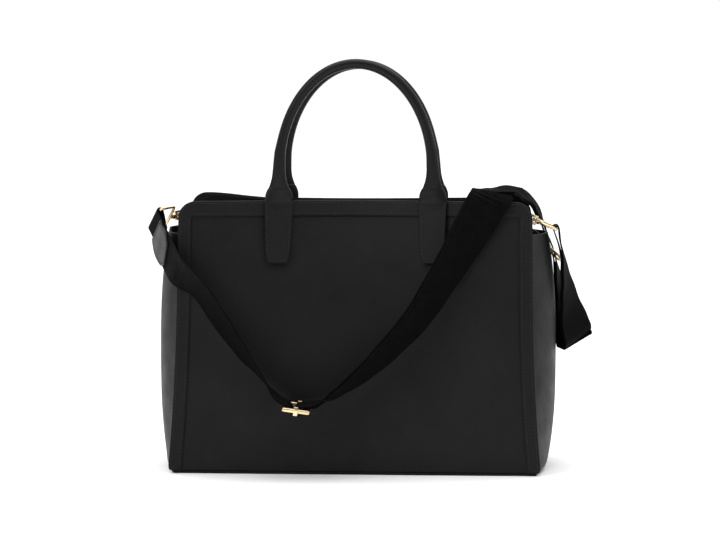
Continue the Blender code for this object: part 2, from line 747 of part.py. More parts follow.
def shoulder_course():
    """From the crest behind the right clasp, down outside the bag, and up to that clasp."""
    return [
        (CREST, Vector((1.0, 0.0, 0.0))),
        edge_pair((163.5, -38.0, 288.5), (121.8, -37.0, 290.0)),
        edge_pair((167.5, -20.0, 285.8), (126.5, -16.0, 290.0)),
        edge_pair((174.5, 2.0, 279.0), (137.5, 19.0, 289.0)),
        edge_pair((182.0, 17.0, 272.5), (158.5, 48.0, 290.5)),
        edge_pair((189.0, 29.5, 260.5), (175.5, 62.5, 286.0)),
        edge_pair((194.5, 33.5, 248.5), (188.0, 70.5, 271.0)),
        edge_pair((199.6, 34.0, 236.0), (194.0, 73.0, 250.0)),
        edge_pair((207.2, 29.0, 216.0), (204.0, 69.5, 225.0)),
        edge_pair((209.0, 25.0, 197.0), (210.5, 66.5, 205.0)),
        edge_pair((210.8, 21.0, 174.0), (222.5, 58.5, 183.0)),
        edge_pair((212.0, 16.0, 148.5), (231.5, 48.5, 162.0)),
        edge_pair((212.0, 13.5, 133.0), (237.5, 41.0, 150.0)),
        edge_pair((213.5, 8.0, 122.5), (241.5, 33.0, 141.0)),
        edge_pair((217.5, 0.5, 126.0), (244.5, 26.5, 145.0)),
        edge_pair((214.5, -4.5, 143.0), (239.5, 25.0, 157.0)),
        edge_pair((213.5, -11.0, 173.0), (228.0, 26.5, 182.0)),
        edge_pair((213.5, -16.5, 199.5), (219.5, 24.5, 205.0)),
        edge_pair((212.6, -20.0, 223.0), (213.6, 22.0, 224.5)),
        (Vector((209.8, 0.0, 238.0)), -CROSS),
        (RIGHT_BAR, -CROSS),
    ]


def strap_eye_radius(bar_radius):
    return bar_radius + GAP + 0.5 * STRAP_THICKNESS


def trimmed_end(path, stop):
    """A path without its last stretch."""
    total = path[-1][4]
    return [station for station in path if station[4] <= total - stop]


def make_front_webbing():
    """The main run: sewn back round the left clasp, through the slider and up to the crest."""
    course = frames(smooth_path(left_course() + slider_weave(), 7.0))
    eye_radius = strap_eye_radius(WIRE)
    bar, along, across, normal, _ = course[0]
    tail = [station for station in course if 5.0 < station[4] < 42.0]
    returned = layer(tail, lambda d: blend_between(d, 0.0, 15.0, eye_radius, LAYER_OFFSET))
    turn = eye_sections(bar, along, across, normal, eye_radius, 20.0, -200.0, 10)
    leaving = [station for station in course if station[4] > 5.0]
    main = layer(leaving, lambda d: -blend_between(d, 0.0, 15.0, eye_radius, LAYER_OFFSET)
                 * blend_between(d, 60.0, 110.0, 1.0, 0.0), -1)
    rising = frames(smooth_path(right_course(), 5.0))
    rising = [station for station in rising if station[4] > 5.0]
    upper = layer(trimmed_end(rising, 2.4), lambda d: -LAYER_OFFSET, -1)
    sections = returned[::-1] + turn + main + upper
    ribbon("strap_webbing_front", sections, STRAP_WIDTH, STRAP_THICKNESS, webbing(), STRAP_PIVOT)


def make_return_webbing():
    """The return run: from the crest back down to the slider, sewn round its middle bar."""
    rising = frames(smooth_path(right_course(), 5.0))
    rising = [station for station in rising if station[4] > 5.0]
    run = layer(trimmed_end(rising, 2.4), lambda d: LAYER_OFFSET)
    radius = strap_eye_radius(SLIDER_BAR_RADIUS)
    turn = eye_sections(SLIDER_CENTRE, SLIDER_ALONG, CROSS, SLIDER_UP, radius, 0.0, -250.0, 12)
    lead = [(slider_point(t, n), CROSS, SLIDER_UP) for t, n in ((12.6, 5.5), (9.0, 4.9), (5.0, 3.7))]
    sections = run[::-1] + lead + turn
    ribbon("strap_webbing_return", sections, STRAP_WIDTH, STRAP_THICKNESS, webbing(), STRAP_PIVOT)


def make_shoulder_webbing():
    """The part behind the crest: down beside the bag, round the right clasp and back again."""
    path = frames(smooth_path(shoulder_course(), 7.0))
    total = path[-1][4]
    radius = strap_eye_radius(WIRE)
    body = [station for station in path if 2.4 <= station[4] <= total - 5.0]
    outward = layer(body, lambda d: -blend_between(total - d, 0.0, 16.0, radius, LAYER_OFFSET), -1)
    inward = layer(body, lambda d: blend_between(total - d, 0.0, 16.0, radius, LAYER_OFFSET))
    bar, along, across, normal, _ = path[-1]
    turn = eye_sections(bar, along, across, normal, radius, 200.0, -20.0, 10)
    sections = outward + turn + inward[::-1]
    ribbon("strap_webbing_shoulder", sections, STRAP_WIDTH, STRAP_THICKNESS, webbing())


def make_end_patch():
    """The leather patch sewn over the left end of the webbing, with a clipped tip."""
    course = frames(smooth_path(left_course(), 7.0))
    eye_radius = strap_eye_radius(WIRE)
    away = 0.5 * STRAP_THICKNESS + GAP + 0.5 * PATCH_THICKNESS
    stations = [station for station in course if 8.0 < station[4] < 8.0 + PATCH_LENGTH]
    last = stations[-1][4]
    sections = layer(stations, lambda d: -away - blend_between(d, 0.0, 15.0, eye_radius, LAYER_OFFSET)
                     * blend_between(d, 60.0, 110.0, 1.0, 0.0))
    halves = [0.5 * STRAP_WIDTH - 9.0 * max(0.0, (station[4] - last + 9.0) / 9.0) for station in stations]
    ribbon("strap_end_patch", sections, STRAP_WIDTH, PATCH_THICKNESS, leather(), STRAP_PIVOT, halves)


STRAP_PIVOT = Vector((-176.2, 0.0, 264.7))


# ---- strap hardware ------------------------------------------------------------------------
def rounded_rectangle(half_a, half_b, radius, steps=3):
    """Outline points of a rounded rectangle."""
    points = []
    for corner, (sa, sb) in enumerate(((1, 1), (-1, 1), (-1, -1), (1, -1))):
        centre = (sa * (half_a - radius), sb * (half_b - radius))
        points += arc(centre, radius, 90.0 * corner, 90.0 * (corner + 1), steps)
    return points


def wire_rectangle(name, centre, long_axis, short_axis, half_long, half_short, corner, wire,
                   finish, origin):
    """A closed rectangular ring of round wire."""
    path = [centre + long_axis * a + short_axis * b
            for a, b in rounded_rectangle(half_long, half_short, corner)]
    normal = long_axis.cross(short_axis).normalized()
    return wire_along(name, path, normal, wire, 10, finish, True, origin)


def make_strap_loop(word, apex, out, bar_dir, origin):
    """The rectangular loop that carries the webbing, with the swivel stem on its inner bar."""
    seat = apex + out * HOOK_REACH
    centre = seat + out * (0.5 * LOOP_DEPTH)
    loop = wire_rectangle(word + "_strap_loop", centre, bar_dir, out, LOOP_HALF_WIDTH,
                          0.5 * LOOP_DEPTH, LOOP_CORNER, WIRE, gold(), origin)
    profile = [(0.6, 2.6), (2.2, 2.6), (2.2, 1.5), (8.6, 1.5), (8.6, 2.5), (10.2, 2.5), (10.7, 1.9)]
    stem = turned(word + "_stem_tool", seat, -out, profile, 14, gold(), origin)
    combine(loop, stem, "UNION")
    return loop


def hook_axes(out):
    """Along the hook towards its eye, up across the eye's plane, and the eye's own axis."""
    along = -out
    side = (CROSS - along * CROSS.dot(along)).normalized()
    up = along.cross(side).normalized()
    if up.z < 0.0:
        up = -up
    return along, up, side


def make_hook(word, apex, out, origin):
    """The cast hook: swivel barrel, square block and open eye."""
    seat = apex + out * HOOK_REACH
    along, up, side = hook_axes(out)

    def at(t, n, s=0.0):
        return seat + along * t + up * n + side * s

    middle = 0.5 * (HOOK_BLOCK[0] + HOOK_BLOCK[1])
    half = 0.5 * (HOOK_BLOCK[1] - HOOK_BLOCK[0])
    body = block(word + "_hook_body", at(middle, 0.0), (along, up, side),
                 (half, HOOK_BLOCK_HALF, HOOK_BLOCK_HALF_THICK), gold(), origin)
    barrel = turned(word + "_barrel_tool", seat, along, [(2.7, 3.2), (6.4, 3.2)], 16, gold(), origin)
    combine(body, barrel, "UNION")
    curve = []
    for k in range(22):
        angle = math.radians(202.0 + (432.0 - 202.0) * k / 21.0)
        curve.append(at(EYE_CENTRE + EYE_RADIUS * math.cos(angle), EYE_RADIUS * math.sin(angle)))
    eye_wire = wire_along(word + "_eye_tool", curve, side, HOOK_WIRE, 10, gold(), False, origin)
    combine(body, eye_wire, "UNION")
    bore = cylinder(word + "_bore_tool", at(1.0, 0.0), at(9.6, 0.0), 1.9, 14, gold(), origin)
    combine(body, bore, "DIFFERENCE")
    window = cylinder(word + "_window_tool", at(9.6, 0.0, -6.0), at(9.6, 0.0, 6.0), 3.0, 16, gold(), origin)
    combine(body, window, "DIFFERENCE")
    slot = block(word + "_slot_tool", at(13.6, 4.0), (along, up, side), (2.6, 2.5, 1.5), gold(), origin)
    combine(body, slot, "DIFFERENCE")
    pin_hole = cylinder(word + "_pin_hole_tool", at(*GATE_PIN, -6.0), at(*GATE_PIN, 6.0),
                        GATE_PIN_RADIUS + 0.15, 10, gold(), origin)
    combine(body, pin_hole, "DIFFERENCE")
    cylinder(word + "_gate_pin", at(*GATE_PIN, -HOOK_BLOCK_HALF_THICK),
             at(*GATE_PIN, HOOK_BLOCK_HALF_THICK), GATE_PIN_RADIUS, 10, gold(), origin)
    make_gate(word, at, (along, up, side), origin)


def make_gate(word, at, axes, origin):
    """The sprung gate: an eye on the pin and a bar that closes the hook."""
    reach_t = GATE_END[0] - GATE_PIN[0]
    reach_n = GATE_END[1] - GATE_PIN[1]
    length = math.hypot(reach_t, reach_n)
    lead = (reach_t / length, reach_n / length)
    cross = (-lead[1], lead[0])
    places = []
    for angle in range(60, 301, 30):
        turn = math.radians(angle)
        places.append((1.7 * math.cos(turn), 1.7 * math.sin(turn)))
    places += [(0.6 * length, -1.3), (length - 0.6, -1.2), (length, -0.5)]
    places += [(length, 0.9), (0.55 * length, 1.8)]
    outline = []
    for a, b in places:
        outline.append((GATE_PIN[0] + lead[0] * a + cross[0] * b,
                        GATE_PIN[1] + lead[1] * a + cross[1] * b))
    gate = extruded(word + "_hook_gate", outline, at(0.0, 0.0), axes, 1.15, gold(), at(*GATE_PIN))
    hole = cylinder(word + "_gate_hole_tool", at(*GATE_PIN, -4.0), at(*GATE_PIN, 4.0),
                    GATE_PIN_RADIUS + 0.2, 10, gold())
    combine(gate, hole, "DIFFERENCE")


def make_d_ring(word, foot, apex):
    """A D-ring: a straight bar in the leather tab and a round bow in the hook."""
    rise = (apex - foot).normalized()
    height = (apex - foot).length
    corner = 2.6
    outline = [(RING_HALF_WIDTH - corner, 0.0), (RING_HALF_WIDTH - 0.6, 0.7), (RING_HALF_WIDTH, corner)]
    for k in range(1, 12):
        angle = math.pi * k / 12.0
        outline.append((RING_HALF_WIDTH * math.cos(angle), corner + (height - corner) * math.sin(angle)))
    outline += [(-RING_HALF_WIDTH, corner), (0.6 - RING_HALF_WIDTH, 0.7), (corner - RING_HALF_WIDTH, 0.0)]
    path = [foot + CROSS * a + rise * b for a, b in outline]
    wire_along(word + "_d_ring", path, rise.cross(CROSS).normalized(), RING_WIRE, 10, gold(), True, foot)


def make_ring_tab(word, hand):
    """The leather tab folded round the D-ring's bar and sewn inside the gusset."""
    foot = Vector((hand * RING_FOOT.x, 0.0, RING_FOOT.z))
    wall = GUSSET_THICKNESS + LINING_AWAY + LINING_THICKNESS + GAP + TAB_STRIP_THICKNESS + 2.0
    knots = [(foot, CROSS)]
    knots.append((Vector((hand * 184.5, 0.0, 246.4)), CROSS))
    for z in (240.0, 233.0, 226.0):
        knots.append((Vector((hand * (gusset_widest(z) - wall), 0.0, z)), CROSS))
    path = frames(smooth_path(knots, 5.0))
    radius = RING_WIRE + GAP + 0.5 * TAB_STRIP_THICKNESS
    away = 0.5 * TAB_STRIP_THICKNESS + 0.15
    bar, along, across, normal, _ = path[0]
    legs = [station for station in path if station[4] > 4.0]
    one = layer(legs, lambda d: blend_between(d, 0.0, 10.0, radius, away))
    two = layer(legs, lambda d: -blend_between(d, 0.0, 10.0, radius, away), -1)
    turn = eye_sections(bar, along, across, normal, radius, 20.0, -200.0, 10)
    sections = one[::-1] + turn + two
    ribbon(word + "_ring_tab", sections, TAB_STRIP_WIDTH, TAB_STRIP_THICKNESS, leather())


def make_clasp(word, hand, apex, out, bar_dir, loop_origin):
    foot = Vector((hand * RING_FOOT.x, 0.0, RING_FOOT.z))
    make_ring_tab(word, hand)
    make_d_ring(word, foot, apex)
    make_strap_loop(word, apex, out, bar_dir, loop_origin)
    make_hook(word, apex, out, apex + out * HOOK_REACH)


def make_slider():
    """The three-bar slider: a flat frame and the middle bar that clips round its sides."""
    half_length = 0.5 * SLIDER_LENGTH
    outer = rounded_rectangle(half_length, SLIDER_HALF_WIDTH, 3.0)
    inner = rounded_rectangle(half_length - SLIDER_RAIL, SLIDER_HALF_WIDTH - 3.0, 1.2)
    count = len(outer)
    points = []
    for outline in (outer, inner):
        for n in (-SLIDER_HALF_THICKNESS, SLIDER_HALF_THICKNESS):
            points += [slider_point(t, n) + CROSS * w for t, w in outline]
    faces = []
    for k in range(count):
        f = (k + 1) % count
        faces.append((k, f, count + f, count + k))
        faces.append((2 * count + k, 3 * count + k, 3 * count + f, 2 * count + f))
        faces.append((k, 2 * count + k, 2 * count + f, f))
        faces.append((count + k, count + f, 3 * count + f, 3 * count + k))
    frame = mesh_object("slider_frame", points, faces, gold(), STRAP_PIVOT)
    soften(frame, 0.5)
    side_rail = SLIDER_HALF_WIDTH - 1.5
    axes = (SLIDER_ALONG, SLIDER_UP, CROSS)
    bar = cylinder("slider_bar", SLIDER_CENTRE - CROSS * side_rail, SLIDER_CENTRE + CROSS * side_rail,
                   SLIDER_BAR_RADIUS, 12, gold(), STRAP_PIVOT)
    for hand in (-1, 1):
        place = SLIDER_CENTRE + CROSS * (hand * side_rail)
        collar = block("slider_collar_tool", place, axes, (2.1, 4.4, 2.9), gold(), STRAP_PIVOT)
        combine(bar, collar, "UNION")
    for hand in (-1, 1):
        place = SLIDER_CENTRE + CROSS * (hand * side_rail)
        halves = (5.0, SLIDER_HALF_THICKNESS + 0.3, 1.8)
        hole = block("slider_hole_tool", place, axes, halves, gold(), STRAP_PIVOT)
        combine(bar, hole, "DIFFERENCE")


def make_keeper():
    """The flat rectangular ring that holds the two runs together beside the bag."""
    path = frames(smooth_path(shoulder_course(), 7.0))
    station = min(path, key=lambda item: abs(item[0].z - 218.0) + (50.0 if item[0].y < 40.0 else 0.0))
    centre, along, across, normal, _ = station
    turn = math.radians(KEEPER_TILT)
    lengthwise = along * math.cos(turn) - normal * math.sin(turn)
    wire_rectangle("strap_keeper", centre, across, lengthwise, KEEPER_HALF_WIDTH, KEEPER_HALF_LENGTH,
                   3.0, KEEPER_WIRE, gold(), centre)


# ---- inside fittings -----------------------------------------------------------------------
def lining_face(x, z):
    """The lining's inner face on the front and rear walls."""
    return half_depth(x, z) - PANEL_THICKNESS - 0.6 - LINING_THICKNESS


def wall_patch(name, side, xs, levels, standoff, thickness, finish):
    """A flat piece that follows the lining's front or rear wall."""
    outer = []
    inner = []
    for z in levels:
        outer.append([Vector((x, side * (lining_face(x, z) - standoff), z)) for x in xs])
        inner.append([Vector((x, side * (lining_face(x, z) - standoff - thickness), z)) for x in xs])
    return sheet_solid(name, outer, inner, finish)


def make_bottle_pocket(word, hand):
    """An open-topped pocket on the front wall, gathered so that it bellies out."""
    outer = []
    inner = []
    for level in range(6):
        z = 60.0 + 17.0 * level
        front = []
        back = []
        for column in range(9):
            share = column / 8.0
            x = hand * (28.0 + 84.0 * share)
            belly = 9.0 * math.sin(math.pi * share) * math.sin(0.5 * math.pi * min(1.0, 0.25 + level / 4.0))
            y = lining_face(x, z) - 1.2 - belly
            front.append(Vector((x, -y, z)))
            back.append(Vector((x, 0.9 - y, z)))
        outer.append(front)
        inner.append(back)
    sheet_solid(word + "_bottle_pocket", outer, inner, lining_cloth())


def make_zip():
    """The zipped inner pocket's mouth on the rear wall: tape, teeth, slider and pull."""
    z = 170.0
    tape_away = 1.2
    xs = [-80.0 + 20.0 * k for k in range(9)]
    wall_patch("zip_tape", 1, xs, [z - 11.0, z - 5.5, z, z + 5.5, z + 11.0], tape_away, 1.0, lining_cloth())
    teeth_away = tape_away + 1.0 + 0.3
    teeth_xs = [-76.0 + 8.0 * k for k in range(20)]
    wall_patch("zip_teeth", 1, teeth_xs, [z - 2.2, z + 2.2], teeth_away, 1.2, zip_metal())
    x = -58.0
    axes = wall_axes(x, z, 1)
    along, inwards, up = axes
    foot = Vector((x, lining_face(x, z) - teeth_away - 1.2, z))
    pivot = foot + inwards * 3.5
    plate = block("zip_slider", foot + inwards * 1.5, axes, (4.5, 0.8, 3.6), zip_metal(), pivot)
    bridge = block("zip_bridge_tool", foot + inwards * 3.8, axes, (3.4, 2.0, 1.0), zip_metal())
    combine(plate, bridge, "UNION")
    gap = block("zip_gap_tool", foot + inwards * 3.5, axes, (2.1, 1.1, 2.0), zip_metal())
    combine(plate, gap, "DIFFERENCE")
    pull = block("zip_pull", pivot + along * 9.6, axes, (10.4, 0.5, 2.8), zip_metal(), pivot)
    window = block("zip_window_tool", pivot + along * 3.0, axes, (2.2, 2.0, 1.7), zip_metal())
    combine(pull, window, "DIFFERENCE")


def build():
    for made in list(bpy.data.objects):
        bpy.data.objects.remove(made)
    for word, side in (("front", -1), ("rear", 1)):
        make_panel(word + "_panel", side)
        make_border_trim(word + "_border_trim", side)
        make_facing(word + "_facing", side)
        make_handle(word, side)
        for hand_word, hand in (("left", -1), ("right", 1)):
            make_handle_tab(word + "_" + hand_word + "_handle_tab", side, hand)
    make_gusset("left_gusset", -1)
    make_gusset("right_gusset", 1)
    make_base()
    make_lining()
    make_snap("snap_socket", -1, [(0.0, 7.5), (1.6, 7.5), (2.0, 7.0)])
    make_snap("snap_stud", 1, [(0.0, 7.5), (1.4, 7.5), (1.4, 2.6), (3.4, 2.6)])
    make_clasp("left", -1, RING_APEX_LEFT, LEFT_OUT, LEFT_BAR_DIR, STRAP_PIVOT)
    make_clasp("right", 1, RING_APEX_RIGHT, RIGHT_OUT, CROSS, RIGHT_BAR)
    make_front_webbing()
    make_return_webbing()
    make_shoulder_webbing()
    make_end_patch()
    make_slider()
    make_keeper()
    make_bottle_pocket("left", -1)
    make_bottle_pocket("right", 1)
    make_zip()


build()
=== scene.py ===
import json
import math

import bmesh
import bpy
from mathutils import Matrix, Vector, noise


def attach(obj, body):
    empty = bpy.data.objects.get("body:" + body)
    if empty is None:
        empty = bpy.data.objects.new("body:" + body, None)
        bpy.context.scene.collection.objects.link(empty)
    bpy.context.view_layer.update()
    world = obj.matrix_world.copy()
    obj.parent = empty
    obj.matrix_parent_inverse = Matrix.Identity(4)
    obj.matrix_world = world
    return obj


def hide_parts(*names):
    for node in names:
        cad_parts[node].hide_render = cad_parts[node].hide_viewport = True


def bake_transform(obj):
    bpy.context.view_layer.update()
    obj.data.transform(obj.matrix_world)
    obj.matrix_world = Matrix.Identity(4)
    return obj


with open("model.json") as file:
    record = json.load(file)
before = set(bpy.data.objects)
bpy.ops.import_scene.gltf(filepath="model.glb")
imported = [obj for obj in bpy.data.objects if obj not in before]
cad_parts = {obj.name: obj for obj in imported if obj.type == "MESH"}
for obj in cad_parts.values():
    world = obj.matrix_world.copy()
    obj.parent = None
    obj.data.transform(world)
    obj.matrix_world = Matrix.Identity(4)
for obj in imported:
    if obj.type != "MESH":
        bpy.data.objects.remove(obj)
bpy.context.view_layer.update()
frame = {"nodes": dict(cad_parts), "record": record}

# Everything is in metres, in the CAD's frame: +Z up, the front of the bag faces -Y.

# ---- driving values ------------------------------------------------------------------------
SOFT_EDGE = 0.00045            # rounding along a cut leather edge
METAL_EDGE = 0.0003
THREAD_RADIUS = 0.00032
STITCH_LENGTH = 0.0027
STITCH_PITCH = 0.0039
STITCH_INSET = 0.0024          # from the leather's edge to the row of stitches
PANEL_SWAY = 0.0011            # how far the soft walls wander from their even curve
BASE_TUCK = 0.0045             # how far the base corners draw in
BASE_TUCK_HEIGHT = 0.009
BASE_TUCK_FROM = 0.150         # the tuck grows between these distances from the middle
BASE_TUCK_TO = 0.190
REAR_RISE = 0.0048             # how much taller the rear wall stands at its left end
REAR_RISE_FROM = -0.094        # the rise grows between these places across the bag
REAR_RISE_TO = -0.165
WALL_Y = 0.012                 # points nearer the middle plane than this don't wander
THIN_FACE = 0.0036             # a face narrower than this is the thickness of a sheet
TAB_STITCH_TOP = 0.2765        # a handle tab has no stitches above this height, where the root begins
HANDLE_X = 0.0795              # from the middle of the bag to a handle's foot
HANDLE_Y = 0.0389
ROOT_SIDES = 28
ROOT_SQUARENESS = 0.8          # 1 gives an oval section, less gives a squarer one
STRAP_WIDTH = 0.042
STRAP_THICKNESS = 0.0016
CREST = Vector((0.1430, -0.0475, 0.2886))      # where the strap bends over the rim
CREST_REACH = 0.0023
CREST_OFFSET = 0.00115
CREST_RISING = Vector((0.0, 0.953, 0.304))     # the strap's direction as it comes up to the rim
CREST_LEVEL = Vector((0.0, 0.996, 0.087))      # and as it leaves it
CREST_STEPS = 6
CREST_COLUMNS = 14
CAMERA_AZIMUTH = 3.3
CAMERA_ELEVATION = 4.4
CAMERA_DISTANCE = 2.6
CAMERA_TARGET = Vector((0.0, -0.03, 0.205))
CAMERA_LENS = 125.3
CAMERA_SHIFT = (3.8 / 720.0, 2.24 / 720.0)
WORLD_FRONT = 0.30             # grey of the surroundings in front of the bag; behind it they are white
FLOOR_HALF = 9.0

BODY_OF = {}
for body_name, members in frame["record"]["behaviour"]["bodies"].items():
    for member in members:
        BODY_OF[member] = body_name


# ---- materials -----------------------------------------------------------------------------
def material(name, colour, roughness, metallic=0.0, **sockets):
    """A material with its even values set on the shader; returns its node tree and shader too."""
    made = bpy.data.materials.new(name)
    made.use_nodes = True
    tree = made.node_tree
    shader = tree.nodes["Principled BSDF"]
    shader.inputs["Base Color"].default_value = (*colour, 1.0)
    shader.inputs["Roughness"].default_value = roughness
    shader.inputs["Metallic"].default_value = metallic
    for key, value in sockets.items():
        shader.inputs[key.replace("_", " ")].default_value = value
    return made, tree, shader


def coordinates(tree, scale=(1.0, 1.0, 1.0)):
    """Object coordinates, stretched by a scale."""
    place = tree.nodes.new("ShaderNodeTexCoord")
    stretch = tree.nodes.new("ShaderNodeMapping")
    stretch.inputs["Scale"].default_value = scale
    tree.links.new(place.outputs["Object"], stretch.inputs["Vector"])
    return stretch.outputs["Vector"]


def noise_texture(tree, scale, detail=4.0, stretch=(1.0, 1.0, 1.0)):
    """Cloudy noise over the object's own space."""
    texture = tree.nodes.new("ShaderNodeTexNoise")
    texture.inputs["Scale"].default_value = scale
    texture.inputs["Detail"].default_value = detail
    tree.links.new(coordinates(tree, stretch), texture.inputs["Vector"])
    return texture.outputs["Fac"]


def pebbles(tree, scale):
    """The rounded grains of tumbled leather."""
    texture = tree.nodes.new("ShaderNodeTexVoronoi")
    texture.feature = "SMOOTH_F1"
    texture.inputs["Scale"].default_value = scale
    texture.inputs["Smoothness"].default_value = 0.45
    texture.inputs["Randomness"].default_value = 0.9
    tree.links.new(coordinates(tree), texture.inputs["Vector"])
    return texture.outputs["Distance"]


def ramp(tree, source, stops):
    """Colours or greys spread over a value."""
    spread = tree.nodes.new("ShaderNodeValToRGB")
    elements = spread.color_ramp.elements
    while len(elements) < len(stops):
        elements.new(0.5)
    for element, (place, colour) in zip(elements, stops):
        element.position = place
        element.color = (*colour, 1.0)
    tree.links.new(source, spread.inputs["Fac"])
    return spread.outputs["Color"]


def grey(value):
    return (value, value, value)


def bump(tree, shader, layers):
    """Stack height layers (height, strength, distance) onto the shader's normal."""
    last = None
    for height, strength, distance in layers:
        node = tree.nodes.new("ShaderNodeBump")
        node.inputs["Strength"].default_value = strength
        node.inputs["Distance"].default_value = distance
        tree.links.new(height, node.inputs["Height"])
        if last:
            tree.links.new(last, node.inputs["Normal"])
        last = node.outputs["Normal"]
    tree.links.new(last, shader.inputs["Normal"])


def leather_material(name, low, high, roughness, grain, strength):
    """Leather with a pebbled grain, uneven colour and rubbed places."""
    made, tree, shader = material(name, high, roughness, Specular_IOR_Level=0.17)
    patches = noise_texture(tree, 14.0, 5.0)
    tree.links.new(ramp(tree, patches, [(0.3, low), (0.72, high)]), shader.inputs["Base Color"])
    rubbed = noise_texture(tree, 45.0, 6.0)
    spread = [(0.3, grey(roughness - 0.07)), (0.7, grey(roughness + 0.08))]
    tree.links.new(ramp(tree, rubbed, spread), shader.inputs["Roughness"])
    bump(tree, shader, [(noise_texture(tree, 170.0, 3.0), 0.10, 0.0006),
                        (pebbles(tree, grain), strength, 0.00035)])
    return made


def weave_material(name, low, high, roughness, scale, strength, sheen):
    """Cloth with crossing ribs, made from two sets of bands."""
    made, tree, shader = material(name, high, roughness, Specular_IOR_Level=0.25,
                                  Sheen_Weight=sheen, Sheen_Roughness=0.6)
    tree.links.new(ramp(tree, noise_texture(tree, 60.0, 5.0), [(0.3, low), (0.75, high)]),
                   shader.inputs["Base Color"])
    heights = []
    for direction in ("X", "Z"):
        bands = tree.nodes.new("ShaderNodeTexWave")
        bands.wave_type = "BANDS"
        bands.bands_direction = direction
        bands.inputs["Scale"].default_value = scale
        bands.inputs["Distortion"].default_value = 0.6
        bands.inputs["Detail"].default_value = 1.0
        tree.links.new(coordinates(tree), bands.inputs["Vector"])
        heights.append((bands.outputs["Fac"], strength, 0.0004))
    heights.append((noise_texture(tree, 900.0, 2.0), 0.25, 0.0003))
    bump(tree, shader, heights)
    return made


def webbing_material():
    """Herringbone webbing: ribs across the strap, read from its own length and width."""
    made, tree, shader = material("webbing_black_and_painted_shade", (0.004, 0.004, 0.0043), 0.85,
                                  Specular_IOR_Level=0.06)
    laid = tree.nodes.new("ShaderNodeUVMap")
    laid.uv_map = "strap"
    # The webbing's own black, darkened further as painted shade for the strap's self-shadow, so it is
    # darker than the leather.
    black_and_painted_shade = ramp(tree, noise_texture(tree, 90.0, 5.0),
                  [(0.3, (0.0014, 0.0014, 0.0015)), (0.75, (0.0026, 0.0026, 0.0028))])
    tree.links.new(black_and_painted_shade, shader.inputs["Base Color"])
    heights = []
    for turn, scale, strength in ((38.0, 160.0, 0.55), (-38.0, 160.0, 0.55), (0.0, 420.0, 0.35)):
        lean = tree.nodes.new("ShaderNodeMapping")
        lean.inputs["Rotation"].default_value = (0.0, 0.0, math.radians(turn))
        tree.links.new(laid.outputs["UV"], lean.inputs["Vector"])
        bands = tree.nodes.new("ShaderNodeTexWave")
        bands.inputs["Scale"].default_value = scale
        bands.inputs["Distortion"].default_value = 0.4
        tree.links.new(lean.outputs["Vector"], bands.inputs["Vector"])
        heights.append((bands.outputs["Fac"], strength, 0.0004))
    bump(tree, shader, heights)
    return made


def gold_material(name, colour, roughness):
    """Plated metal, a little worn and finely brushed."""
    made, tree, shader = material(name, colour, roughness, 1.0)
    worn = noise_texture(tree, 260.0, 5.0)
    spread = [(0.3, grey(roughness - 0.05)), (0.75, grey(roughness + 0.12))]
    tree.links.new(ramp(tree, worn, spread), shader.inputs["Roughness"])
    deeper = tuple(0.86 * part for part in colour)
    tree.links.new(ramp(tree, noise_texture(tree, 120.0, 4.0), [(0.35, deeper), (0.65, colour)]),
                   shader.inputs["Base Color"])
    bump(tree, shader, [(noise_texture(tree, 1500.0, 2.0, (1.0, 1.0, 0.15)), 0.06, 0.0001)])
    return made


def plain_textured(name, low, high, roughness, scale, strength):
    """A matt surface with uneven colour and fine bumps."""
    made, tree, shader = material(name, high, roughness)
    tree.links.new(ramp(tree, noise_texture(tree, scale, 5.0), [(0.3, low), (0.7, high)]),
                   shader.inputs["Base Color"])
    bump(tree, shader, [(noise_texture(tree, 4.0 * scale, 3.0), strength, 0.0003)])
    return made


LEATHER = leather_material("leather_pebbled", low=(0.0042, 0.0044, 0.0044), high=(0.0068, 0.007, 0.007),
                           roughness=0.52, grain=720.0, strength=0.34)
LEATHER_SMOOTH = leather_material("leather_rolled", low=(0.0042, 0.0044, 0.0044),
                                  high=(0.0066, 0.0068, 0.0068), roughness=0.40, grain=900.0,
                                  strength=0.20)
LEATHER_PATCH = leather_material("leather_patch", low=(0.016, 0.016, 0.0165), high=(0.024, 0.024, 0.0245),
                                 roughness=0.46, grain=820.0, strength=0.24)
LINING = weave_material("lining_twill", low=(0.012, 0.012, 0.013), high=(0.022, 0.022, 0.024),
                        roughness=0.75, scale=260.0, strength=0.3, sheen=0.1)
WEBBING = webbing_material()
GOLD = gold_material("gold_champagne", colour=(0.83, 0.66, 0.40), roughness=0.24)
ZIP_METAL = gold_material("zip_gold", colour=(0.70, 0.54, 0.31), roughness=0.30)
THREAD = plain_textured("thread_black", low=(0.003, 0.003, 0.003), high=(0.007, 0.007, 0.0072),
                        roughness=0.7, scale=900.0, strength=0.4)
BOARD = plain_textured("base_board_grey", low=(0.03, 0.03, 0.03), high=(0.05, 0.05, 0.05),
                       roughness=0.8, scale=90.0, strength=0.2)
ROPE = weave_material("core_cotton", low=(0.48, 0.46, 0.41), high=(0.62, 0.59, 0.52),
                      roughness=0.85, scale=300.0, strength=0.5, sheen=0.1)

FINISH_OF_SLOT = {
    "leather": LEATHER,
    "webbing": WEBBING,
    "gold": GOLD,
    "lining_cloth": LINING,
    "board": BOARD,
    "core_rope": ROPE,
    "zip_metal": ZIP_METAL,
}
SLOT_OF = {}
for part in frame["record"]["subparts"]:
    SLOT_OF[part["node"]] = part["material_slot"]


# ---- making a finished piece from a CAD node's outline --------------------------------------
def eased(value, start, stop):
    """0 before start, 1 after stop, smooth between; start may be the greater."""
    share = max(0.0, min(1.0, (value - start) / (stop - start)))
    return share * share * (3.0 - 2.0 * share)


